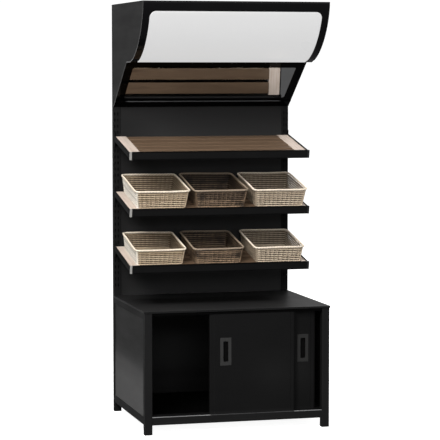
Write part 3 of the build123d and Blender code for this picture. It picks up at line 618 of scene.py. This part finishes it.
M = {
    "frame": powder_coat("powder_black_frame", 0.0054, 0.58, 0.13),
    "upright": powder_coat("powder_black_upright", 0.0040, 0.60, 0.10, edge_wear_and_highlight=0, tone=slot_painted_shade),
    "bracket": powder_coat("powder_black_bracket", 0.0036, 0.62, 0.06, edge_wear_and_highlight=0),
    "side": powder_coat("powder_black_side", 0.0064, 0.56, 0.20, tone=side_painted_floor_reflection),
    "sheet": powder_coat("powder_black_sheet", 0.0055, 0.60, 0.14, edge_wear_and_highlight=0, tone=back_panel_painted_light),
    # painted shade: the door copies are darker than the frame, partly a smoother finish and partly the shade in the
    # opening; the rear door, set further back, is darker still
    "door_front": powder_coat("powder_black_front_door", 0.0036, 0.50, 0.10, edge_wear_and_highlight=0.2, tone=door_painted_light(0.311)),
    "door_rear": powder_coat("powder_black_rear_door", 0.0031, 0.50, 0.10, edge_wear_and_highlight=0.2, tone=door_painted_light(0.430)),
    "dark": powder_coat("powder_black_inner", 0.0022, 0.65, 0.08, edge_wear_and_highlight=0),
    "inner": powder_coat("powder_black_cabinet_back", 0.0060, 0.65, 0.08, edge_wear_and_highlight=0, tone=cabinet_back_painted_light),
    # painted shade: the cabinet floor and the upper track are near-black copies of the coat, standing for the shade
    # inside the cabinet and under the worktop lip
    "low": powder_coat("powder_black_cabinet_floor", 0.0007, 0.70, 0.03, edge_wear_and_highlight=0),
    "head": powder_coat("powder_black_upper_track", 0.0008, 0.70, 0.03, edge_wear_and_highlight=0),
    "worktop": powder_coat("powder_black_worktop", 0.0050, 0.42, 0.15, edge_wear_and_highlight=0.3, tone=worktop_painted_light),
    "cheek": powder_coat("powder_black_hood", 0.0080, 0.62, 0.13, edge_wear_and_highlight=0.2),
    "gloss": gloss_black("gloss_black", 0.30),
    "gloss_low": gloss_black("gloss_black_mirror_frame", 0.05, 0.3),
    "lip": gloss_black("gloss_black_lip", 0.10, 0.3, lip_painted_highlight),
    "opal": opal("opal_acrylic"),
    "mirror": mirror("mirror_silver"),
    "rail": powder_coat("price_rail_black", 0.0042, 0.52, 0.10, grain=0.2, edge_wear_and_highlight=0, tone=rail_edges),
    "cap": end_cap("rail_end_cap"),
    "pull_left": plastic("pull_left_dark_grey", 0.0260, 0.62, 0.08, tone=cup_shade(0.0050)),
    "pull_right": plastic("pull_right_dark_grey", 0.0195, 0.62, 0.08, tone=cup_shade(0.0330)),
    "track": track_lip("track_black_and_metal"),
    "nylon": plastic("glide_nylon", 0.62, 0.5, 0.35, tint=(1, 0.98, 0.93)),
    "rubber": plastic("pad_rubber", 0.008, 0.75, 0.15, grain=0.4, scale=900.0),
    "zinc": metal("bolt_zinc", (0.62, 0.62, 0.64), 0.34, "Z"),
    "lamp": plastic("lamp_enamel", 0.72, 0.35, 0.4, grain=0.1),
    "diffuser": plastic("lamp_diffuser", 0.80, 0.3, 0.4, grain=0.1),
    # painted shade: the slats are a far darker copy of the oak than the side boards, partly darker wood and partly the
    # shade that falls between the baskets
    "slat": wood("oak_slats", "X", base=(0.128, 0.082, 0.050), dark=(0.070, 0.041, 0.023)),
    "board": wood("oak_side_boards", "Y", base=(0.62, 0.525, 0.46), dark=(0.45, 0.365, 0.30)),
}


def material_of(n):
    if n.endswith("_slats"):
        return "slat"
    if n.endswith("_side_boards"):
        return "board"
    if n.endswith("_price_rail"):
        return "rail"
    if n.endswith("_glides"):
        return "nylon"
    if n.endswith("_door_pull"):
        return "pull_left" if n.startswith("left") else "pull_right"
    if "_bracket_" in n:
        return "bracket"
    if n.startswith("upright_"):
        return "upright"
    return {
        "price_rail_end_caps": "cap", "leg_pads": "rubber", "cable_grommet": "rubber", "hood_bolts": "zinc",
        "lower_door_track": "track", "left_door": "door_front", "right_door": "door_rear", "worktop": "worktop",
        "back_panel_lower": "sheet", "back_panel_upper": "sheet", "cabinet_back": "inner", "cabinet_floor": "low",
        "upper_door_track": "head", "rear_rails": "dark",
        "side_panel_left": "side", "side_panel_right": "side", "hood_cheek_left": "cheek", "hood_cheek_right": "cheek",
        "fascia_frame": "gloss", "fascia_panel": "opal", "mirror_frame": "gloss_low", "mirror_glass": "mirror",
        "hood_lip": "lip", "lamp_housing": "lamp", "lamp_diffuser": "diffuser",
    }.get(n, "frame")


for name, o in nodes.items():
    if name.startswith("basket_"):
        continue
    m = M[material_of(name)]
    for s in o.material_slots:
        s.material = m
    weld = o.modifiers.new("weld", "WELD")
    weld.merge_threshold = 0.00001


# ---------------------------------------------------------------------------
# Wicker baskets
# ---------------------------------------------------------------------------
TILT = math.radians(11.5)
CT, ST = math.cos(TILT), math.sin(TILT)
RAIL_TOP = {"middle": 1.1496, "lower": 0.8472}
ROWS = {
    "middle": dict(rw=0.311, rd=0.378, bw=0.272, bd=0.346, bh=0.102, s=0.218, xs=(-0.315, 0.009, 0.341)),
    "lower": dict(rw=0.290, rd=0.352, bw=0.258, bd=0.322, bh=0.091, s=0.2056, xs=(-0.325, -0.003, 0.337)),
}


def round_rect(t, a, b, r):
    """Points and outward normals on a rounded rectangle of half sizes a, b. t runs 0..8: side, corner, side, ..."""
    t = np.asarray(t) % 8.0
    k = np.floor(t).astype(int)
    f = t - k
    p = np.zeros((len(t), 2))
    n = np.zeros((len(t), 2))
    # start in the middle of no side: sides in order front, right, back, left
    side = k % 2 == 0
    q = k // 2
    L = np.array([2 * (a - r), 2 * (b - r), 2 * (a - r), 2 * (b - r)])
    start = np.array([(-(a - r), -b), (a, -(b - r)), (a - r, b), (-a, b - r)])
    way = np.array([(1, 0), (0, 1), (-1, 0), (0, -1)], float)
    out = np.array([(0, -1), (1, 0), (0, 1), (-1, 0)], float)
    centre = np.array([(a - r, -(b - r)), (a - r, b - r), (-(a - r), b - r), (-(a - r), -(b - r))])
    ang0 = np.array([-math.pi / 2, 0, math.pi / 2, math.pi])
    p[side] = start[q[side]] + way[q[side]] * (f[side] * L[q[side]])[:, None]
    n[side] = out[q[side]]
    c = ~side
    ang = ang0[q[c]] + f[c] * math.pi / 2
    n[c] = np.stack([np.cos(ang), np.sin(ang)], 1)
    p[c] = centre[q[c]] + r * n[c]
    return p, n


class Weave:
    """Gathers tubes into one mesh, with a value for each strand and a length along it."""

    def __init__(self):
        self.v, self.f, self.strand, self.hidden, self.uv, self.caps = [], [], [], [], [], []
        self.count = 0

    # the last argument is painted shade: how far the strand's colour is darkened as shade
    def tube(self, c, e1, e2, r1, r2, sides, closed, tone, hidden=0.0):
        n = len(c)
        ph = np.arange(sides) * 2 * math.pi / sides
        r1 = np.broadcast_to(np.asarray(r1, float), (n,))
        r2 = np.broadcast_to(np.asarray(r2, float), (n,))
        ring = (c[:, None, :] + (np.cos(ph)[None, :, None] * r1[:, None, None]) * e1[:, None, :]
                + (np.sin(ph)[None, :, None] * r2[:, None, None]) * e2[:, None, :])
        base = self.count
        self.v.append(ring.reshape(-1, 3))
        self.count += n * sides
        step = np.linalg.norm(np.diff(c, axis=0), axis=1)
        along = np.concatenate([[0], np.cumsum(step)])
        total = along[-1] + (np.linalg.norm(c[0] - c[-1]) if closed else 0)
        m = n if closed else n - 1
        i = np.arange(m)[:, None]
        j = np.arange(sides)[None, :]
        i2, j2 = (i + 1) % n, (j + 1) % sides
        quad = np.stack([base + i * sides + j, base + i2 * sides + j, base + i2 * sides + j2, base + i * sides + j2], -1)
        # outward winding: e1 x e2 points along the path for the frames used here
        self.f.append(quad.reshape(-1, 4)[:, ::-1])
        u0 = along[np.arange(m)]
        u1 = np.where(np.arange(m) + 1 < n, along[(np.arange(m) + 1) % n], total)
        v0 = np.arange(sides) / sides
        uu = np.stack([np.broadcast_to(u0[:, None], (m, sides)), np.broadcast_to(u1[:, None], (m, sides)),
                       np.broadcast_to(u1[:, None], (m, sides)), np.broadcast_to(u0[:, None], (m, sides))], -1)
        vv = np.stack([np.broadcast_to(v0, (m, sides)), np.broadcast_to(v0, (m, sides)),
                       np.broadcast_to(v0 + 1 / sides, (m, sides)), np.broadcast_to(v0 + 1 / sides, (m, sides))], -1)
        uv = np.stack([uu + tone * 7.3, vv + tone * 3.1], -1).reshape(-1, 4, 2)[:, ::-1]
        self.uv.append(uv.reshape(-1, 2))
        self.strand.append(np.full(n * sides, tone))
        h = np.broadcast_to(np.asarray(hidden, float), (n,))
        self.hidden.append(np.repeat(h, sides))
        if not closed:
            self.caps.append(base + np.arange(sides))
            self.caps.append((base + (n - 1) * sides + np.arange(sides))[::-1])

    def object(self, name, origin, mat):
        v = np.concatenate(self.v)
        world = np.stack([origin[0] + v[:, 0], origin[1] + v[:, 1] * CT - v[:, 2] * ST, origin[2] + v[:, 1] * ST + v[:, 2] * CT], 1)
        quads = np.concatenate(self.f)
        # caps as one polygon each
        me = bpy.data.meshes.new(name)
        nq = len(quads)
        cap_n = [len(c) for c in self.caps]
        loops = np.concatenate([quads.reshape(-1)] + self.caps) if self.caps else quads.reshape(-1)
        starts = np.concatenate([np.arange(nq) * 4, nq * 4 + np.concatenate([[0], np.cumsum(cap_n)[:-1]])]) if self.caps else np.arange(nq) * 4
        me.vertices.add(len(world))
        me.vertices.foreach_set("co", world.reshape(-1).astype(np.float32))
        me.loops.add(len(loops))
        me.loops.foreach_set("vertex_index", loops.astype(np.int32))
        me.polygons.add(len(starts))
        me.polygons.foreach_set("loop_start", starts.astype(np.int32))
        me.polygons.foreach_set("use_smooth", np.ones(len(starts), bool))
        uvl = me.uv_layers.new(name="along")
        uv = np.concatenate(self.uv)
        uv = np.concatenate([uv, np.zeros((len(loops) - len(uv), 2))])
        uvl.data.foreach_set("uv", uv.reshape(-1).astype(np.float32))
        f = np.clip(v[:, 2] / self.size[2], 0, 1)
        half = (self.size[0] + (self.size[1] - self.size[0]) * f) / 2
        west_light_and_shade = np.clip((-v[:, 0] / half - 0.88) / 0.07, 0, 1)
        for nm, arr in (("strand", self.strand), ("hidden", self.hidden), ("west_light_and_shade", [west_light_and_shade])):
            a = me.attributes.new(nm, "FLOAT", "POINT")
            a.data.foreach_set("value", np.concatenate(arr).astype(np.float32))
        me.update(calc_edges=True)
        me.validate()
        o = bpy.data.objects.new(name, me)
        scene.collection.objects.link(o)
        me.materials.append(mat)
        return o


def basket(row, where, x, mat, seed):
    rng = np.random.default_rng(seed)
    d = ROWS[row]
    rw, rd, bw, bd, bh = d["rw"], d["rd"], d["bw"], d["bd"], d["bh"]
    wt, dt = rw - 0.010, rd - 0.010
    W = Weave()
    W.size = (bw, wt, bh)
    n_st = 50 if row == "middle" else 46
    stake_r, amp = 0.0017, 0.0027
    foot_h = 0.0065
    # parameter along the outline: sides and corners share it by their length half way up
    am, bm, rm = (bw + wt) / 4, (bd + dt) / 4, 0.024
    seg = np.array([2 * (am - rm), rm * math.pi / 2, 2 * (bm - rm), rm * math.pi / 2] * 2)
    cum = np.concatenate([[0], np.cumsum(seg)]) / seg.sum()

    def to_t(u):
        u = np.asarray(u) % 1.0
        return np.interp(u, cum, np.arange(9))

    wob = rng.uniform(-1, 1, (4, 3))

    def wall(u, w, off):
        """Point off the middle of the wall at height w."""
        f = np.clip(w / bh, 0, 1)
        a = (bw + (wt - bw) * f) / 2 - 0.0036
        b_ = (bd + (dt - bd) * f) / 2 - 0.0036
        r = 0.020 + 0.004 * f
        t = to_t(u)
        # sizes vary along a strand, so the outline is evaluated for each height
        if np.ndim(w) == 0:
            p, n = round_rect(t, float(a), float(b_), float(r))
        else:
            p = np.zeros((len(t), 2))
            n = np.zeros((len(t), 2))
            lo_p, n = round_rect(t, bw / 2 - 0.0036, bd / 2 - 0.0036, 0.020)
            hi_p, _ = round_rect(t, wt / 2 - 0.0036, dt / 2 - 0.0036, 0.024)
            p = lo_p + (hi_p - lo_p) * f[:, None]
        bow = 0.0011 * np.sin(2 * math.pi * np.asarray(u) * 2 + wob[0, 0] * 3) * f
        q = p + n * (np.asarray(off) + bow)[:, None]
        ww = np.broadcast_to(np.asarray(w, float), (len(t),))
        return np.column_stack([q, ww]), np.column_stack([n, np.zeros(len(t))])

    # stakes
    lean = math.atan((wt - bw) / 2 / bh)
    for i in range(n_st):
        u = (i + rng.uniform(-0.06, 0.06)) / n_st
        w = np.linspace(0.0035, bh - 0.007, 12)
        c, n = wall(np.full(12, u), w, np.zeros(12))
        tang = np.column_stack([-n[:, 1], n[:, 0], np.zeros(12)])
        # painted shade: stakes are a little darkened
        W.tube(c, n, tang, stake_r, stake_r, 6, False, rng.uniform(0.2, 0.6), 0.30)

    # corner stakes, doubled and a little proud of the weave
    for k in range(4):
        for side in (-1, 1):
            uc = (cum[2 * k + 1] + cum[2 * k + 2]) / 2 + side * 0.0024
            w = np.linspace(0.003, bh - 0.010, 12)
            c, n = wall(np.full(12, uc), w, np.full(12, 0.0030))
            tang = np.column_stack([-n[:, 1], n[:, 0], np.zeros(12)])
            W.tube(c, n, tang, 0.0022, 0.0024, 6, False, 0.0, 0.0)

    # woven rows: two strands cross between the stakes, so that one always
    # passes in front; an open gap follows, in which the inner lay shows, painted near-black as shade
    w0, w1 = foot_h + 0.0035, bh - 0.0165
    n_rows = int(round((w1 - w0) / 0.0103))
    pitch = (w1 - w0) / n_rows
    per = n_st * 8
    u = (np.arange(per) + 0.0) / per
    ez = np.tile([0.0, 0.0, 1.0], (per, 1))
    swing, twist = np.cos(math.pi * n_st * u), np.sin(math.pi * n_st * u)
    swing = np.sign(swing) * np.abs(swing) ** 0.8
    for j in range(n_rows + 1):
        tone = rng.uniform(0.0, 0.9) ** 1.3
        if j < n_rows:
            a_j = amp * rng.uniform(0.92, 1.10)
            drift = 0.00035 * np.sin(2 * math.pi * (u * rng.integers(3, 9) + rng.uniform()))
            for k in (-1, 1):
                w = w0 + (j + 0.5) * pitch + drift + 0.0008 * k * twist + 0.0002 * rng.standard_normal()
                c, n = wall(u, np.full(per, 0.0) + w, k * a_j * swing)
                # painted shade: each strand is darker where it passes behind the stakes
                W.tube(c, n, ez, 0.0013, 0.0021 if where == "centre" else 0.0024, 6, True, np.clip(tone + rng.uniform(-0.15, 0.15), 0, 1),
                       np.clip(0.15 - k * swing, 0, 1) * 0.35)
        # inner lay behind the gap under this row: a dark strand put there as painted shade
        c, n = wall(u, np.full(per, w0 + j * pitch), np.full(per, -0.0026))
        W.tube(c, n, ez, 0.0011, 0.0029, 6, True, 0.8, 1.0)

    # rolled rim: three rods twisted round each other
    def rope(u0_n, a, b_, r, w_c, helix, rod, turns, k_n, tone0, tone1, lift=0.0, groove=0.0):
        uu = np.arange(u0_n) / u0_n
        p, n = round_rect(to_t(uu), a, b_, r)
        n3 = np.column_stack([n, np.zeros(u0_n)])
        e = np.tile([0.0, 0.0, 1.0], (u0_n, 1))
        sag = -0.0012 * np.cos(2 * math.pi * uu * 2 + wob[1, 1]) + 0.0005 * np.sin(2 * math.pi * uu * 5 + wob[1, 2])
        for k in range(k_n):
            th = 2 * math.pi * (turns * uu + k / k_n)
            c = np.column_stack([p, np.full(u0_n, w_c) + lift * sag]) + n3 * (helix * np.cos(th))[:, None] + e * (helix * np.sin(th))[:, None]
            # painted shade: the side of each rod turned into the rope is darkened
            W.tube(c, n3, e, rod, rod, 8, True, rng.uniform(tone0, tone1), np.clip(groove * (0.1 - np.sin(th + 0.6)), 0, 1))

    rope(420, rw / 2 - 0.0065, rd / 2 - 0.0065, 0.024, bh - 0.0062, 0.0028, 0.0031, 26, 3, -1.0, -1.0, 1.0, 0.6)
    # foot: two rods twisted
    rope(320, bw / 2 - 0.0040, bd / 2 - 0.0040, 0.019, 0.0040, 0.0017, 0.0021, 40, 2, 0.0, 0.1)
    # one more pair laid under the rim, which closes the weave
    rope(320, wt / 2 - 0.0042, dt / 2 - 0.0042, 0.024, bh - 0.0148, 0.0010, 0.0014, 44, 2, 0.7, 1.0)

    # woven bottom: rods from front to back and flat strips across
    hw, hd = bw / 2 - 0.007, bd / 2 - 0.007
    rr = 0.017
    n_rod = int(round(2 * hw / 0.024))
    rods = (np.arange(n_rod) + 0.5) / n_rod * 2 * hw - hw
    for xr in rods:
        inset = 0.0
        if hw - abs(xr) < rr:
            q = rr - (hw - abs(xr))
            inset = rr - math.sqrt(max(rr * rr - q * q, 0))
        yy = np.linspace(-hd + inset, hd - inset, 14)
        c = np.column_stack([np.full(14, xr), yy, np.full(14, 0.0052)])
        # painted shade: bottom rods are a little darkened
        W.tube(c, np.tile([1.0, 0, 0], (14, 1)), np.tile([0, 0, 1.0], (14, 1)), 0.0018, 0.0018, 6, False, rng.uniform(0.1, 0.6), 0.3)
    n_strip = int(round(2 * hd / 0.0090))
    for j in range(n_strip):
        y = (j + 0.5) / n_strip * 2 * hd - hd
        inset = 0.0
        if hd - abs(y) < rr:
            q = rr - (hd - abs(y))
            inset = rr - math.sqrt(max(rr * rr - q * q, 0))
        m = n_rod * 5 + 1
        xx = np.linspace(-hw + inset, hw - inset, m)
        ph = (xx + hw) / (2 * hw) * n_rod - 0.5
        z = 0.0052 + 0.0017 * np.cos(math.pi * ph + math.pi * j)
        c = np.column_stack([xx, np.full(m, y), z])
        # painted shade: bottom strips are a little darkened
        W.tube(c, np.tile([0, -1.0, 0], (m, 1)), np.tile([0, 0, 1.0], (m, 1)), 0.0041, 0.0014, 6, False, rng.uniform(0.0, 1.0), 0.25)

    oy = FRONT + 0.350
    oz = RAIL_TOP[row] - 0.012 * CT
    origin = (x, oy + d["s"] * CT - 0.0004 * ST, oz + d["s"] * ST + 0.0004 * CT)
    o = W.object("wicker_" + row + "_" + where, origin, mat)
    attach(o, "basket_" + row + "_" + where + "_body")
    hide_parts("basket_" + row + "_" + where)
    return o


W_PALE = wicker("wicker_cream", (0.545, 0.435, 0.305), (0.36, 0.27, 0.17), (0.042, 0.026, 0.014), (0.80, 0.705, 0.575), (0.86, 0.83, 0.77))
W_BROWN = wicker("wicker_buff", (0.330, 0.228, 0.145), (0.034, 0.019, 0.011), (0.002, 0.0013, 0.0008), (0.285, 0.222, 0.162), (0.075, 0.048, 0.028), 0.85)
W_MID = wicker("wicker_straw", (0.60, 0.50, 0.38), (0.40, 0.32, 0.23), (0.045, 0.032, 0.021), (0.80, 0.70, 0.575), (0.20, 0.155, 0.11))
seed = 11
for row in ("middle", "lower"):
    for where, x, mat in zip(("left", "centre", "right"), ROWS[row]["xs"], (W_PALE, W_BROWN, W_MID)):
        basket(row, where, x, mat, seed)
        seed += 7
